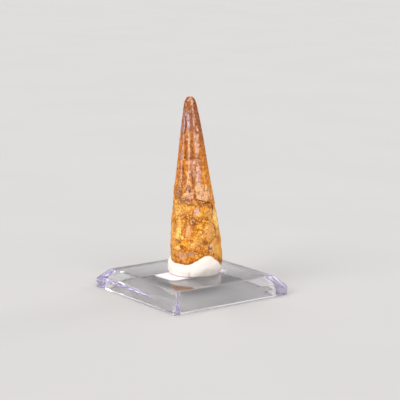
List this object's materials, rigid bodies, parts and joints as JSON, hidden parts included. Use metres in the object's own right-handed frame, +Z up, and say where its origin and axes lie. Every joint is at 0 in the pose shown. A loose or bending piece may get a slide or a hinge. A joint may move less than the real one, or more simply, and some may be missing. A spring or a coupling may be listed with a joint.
{
  "type": "fossil tooth on a display base",
  "caption": "Long conical fossil tooth with a fluted enamel crown and worn root, held upright by white putty on a clear bevelled display base.",
  "frame": {"origin": "middle of the display base's underside, on the surface that it stands on", "axes": "+Z up along the tooth; X and Y along the sides of the square base"},
  "size_m": [0.05, 0.05, 0.0707],
  "materials": {
    "fossil_tooth": "glossy worn enamel over a matte mottled root",
    "white_putty": "soft satin",
    "white_tape": "matte",
    "clear_plastic": "clear, polished"
  },
  "bodies": {
    "root": {"tooth": "fossil_tooth", "putty": "white_putty", "tape_strip": "white_tape", "display_base": "clear_plastic"}
  },
  "joints": []
}
